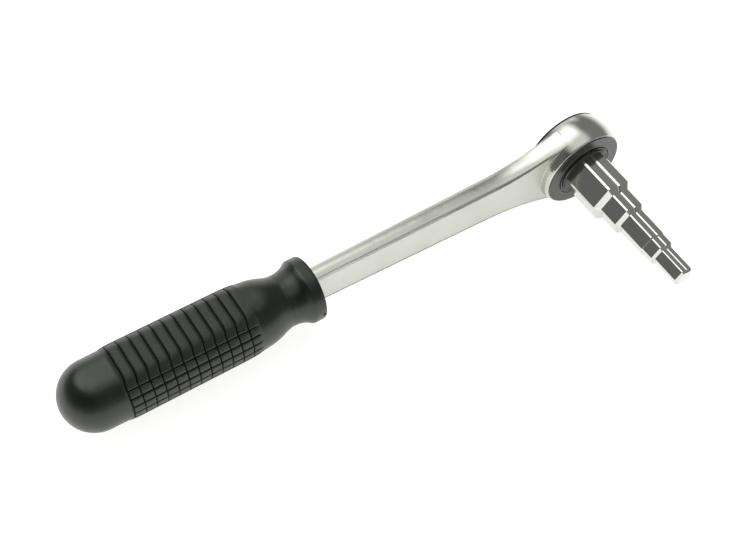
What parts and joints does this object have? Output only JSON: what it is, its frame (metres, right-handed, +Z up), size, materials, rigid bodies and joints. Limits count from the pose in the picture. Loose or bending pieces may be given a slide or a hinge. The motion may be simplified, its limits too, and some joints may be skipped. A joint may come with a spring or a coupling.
{
  "type": "ratchet radiator tap wrench",
  "caption": "Ratchet hand wrench with a stepped hexagonal key set square to a forged shank, a reversing dial behind the round head and a ribbed moulded grip.",
  "frame": {"origin": "on the drive axis of the head, half way between the faces that the pawls run between", "axes": "+X from the grip to the head, -Y along the stepped key, +Z up across the swing of the handle"},
  "size_m": [0.2687, 0.0921, 0.0412],
  "materials": {
    "handle_chrome": "satin chrome plate over a forging, brighter on the rounded sides",
    "key_chrome": "bright chrome plate with ground flats",
    "grip_plastic": "satin black, stippled on the ribs",
    "cover_black": "blackened steel, turned",
    "ring_black": "phosphated spring steel",
    "dial_plastic": "satin black",
    "carrier_steel": "hardened and oiled",
    "screw_steel": "plain",
    "spring_steel": "plain spring steel",
    "seal_rubber": "matt"
  },
  "bodies": {
    "handle": {"handle_body": "handle_chrome", "grip": "grip_plastic", "front_cover": "cover_black", "front_seal": "seal_rubber", "wave_washer": "spring_steel", "thrust_washer": "screw_steel"},
    "rotor": {"rotor": "cover_black", "stepped_key": "key_chrome", "key_screw": "screw_steel", "key_lock_washer": "spring_steel", "pawl_pin_upper": "screw_steel", "pawl_pin_lower": "screw_steel", "pawl_spring_upper": "spring_steel", "pawl_spring_lower": "spring_steel", "detent_spring": "spring_steel", "retaining_ring": "ring_black", "dial_retaining_ring": "ring_black"},
    "dial": {"reversing_dial": "dial_plastic", "rear_seal": "seal_rubber"},
    "pawl_upper": {"pawl_upper": "carrier_steel"},
    "pawl_lower": {"pawl_lower": "carrier_steel"},
    "detent_ball": {"detent_ball": "screw_steel"}
  },
  "joints": [
    {"name": "rotor_spin", "type": "hinge", "parent": "handle", "child": "rotor", "pos_m": [0, 0, 0], "axis": [0, -1, 0], "continuous": true},
    {"name": "dial_switch", "type": "hinge", "parent": "rotor", "child": "dial", "pos_m": [0, 0, 0], "axis": [0, -1, 0], "range_deg": [-30, 0]},
    {"name": "pawl_upper_rock", "type": "hinge", "parent": "rotor", "child": "pawl_upper", "pos_m": [0.00738, 0, 0.01094], "axis": [0, -1, 0], "range_deg": [-13.5, 0], "deforming": ["pawl_spring_upper"]},
    {"name": "pawl_lower_rock", "type": "hinge", "parent": "rotor", "child": "pawl_lower", "pos_m": [0.00738, 0, -0.01094], "axis": [0, -1, 0], "range_deg": [-13.5, 0], "deforming": ["pawl_spring_lower"]},
    {"name": "detent_ball_slide", "type": "slide", "parent": "rotor", "child": "detent_ball", "axis": [0, 1, 0], "range_m": [0, 0.00025], "deforming": ["detent_spring"]}
  ],
  "couplings": [
    {"joint": "pawl_upper_rock", "follows": "dial_switch", "ratio": 0.45},
    {"joint": "pawl_lower_rock", "follows": "dial_switch", "ratio": 0.45}
  ]
}
